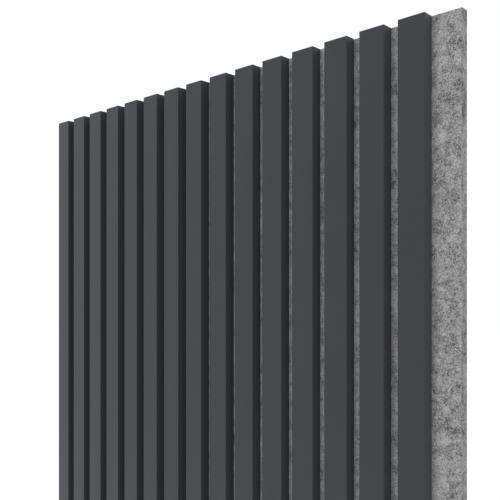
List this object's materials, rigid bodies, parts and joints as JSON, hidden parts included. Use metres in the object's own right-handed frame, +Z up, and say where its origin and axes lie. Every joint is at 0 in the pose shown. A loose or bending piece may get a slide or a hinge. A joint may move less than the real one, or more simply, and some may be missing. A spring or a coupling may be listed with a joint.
{
  "type": "acoustic slat wall panel",
  "caption": "Wall panel of upright anthracite slats on a grey marl felt board, with a lapped side joint that carries the slat pattern on from panel to panel.",
  "frame": {"origin": "centre of the felt's back face, the face that lies on the wall", "axes": "+X to the right as the room sees the panel, +Y into the wall, +Z up along the slats"},
  "size_m": [0.6135, 0.022, 2.4],
  "materials": {
    "slat": "fibreboard wrapped in a matt anthracite foil",
    "felt": "pressed grey marl felt",
    "staple": "galvanised wire"
  },
  "bodies": {
    "root": {"felt_backing": "felt", "slat_01": "slat", "slat_02": "slat", "slat_03": "slat", "slat_04": "slat", "slat_05": "slat", "slat_06": "slat", "slat_07": "slat", "slat_08": "slat", "slat_09": "slat", "slat_10": "slat", "slat_11": "slat", "slat_12": "slat", "slat_13": "slat", "slat_14": "slat", "slat_15": "slat", "staples": "staple"}
  },
  "joints": []
}
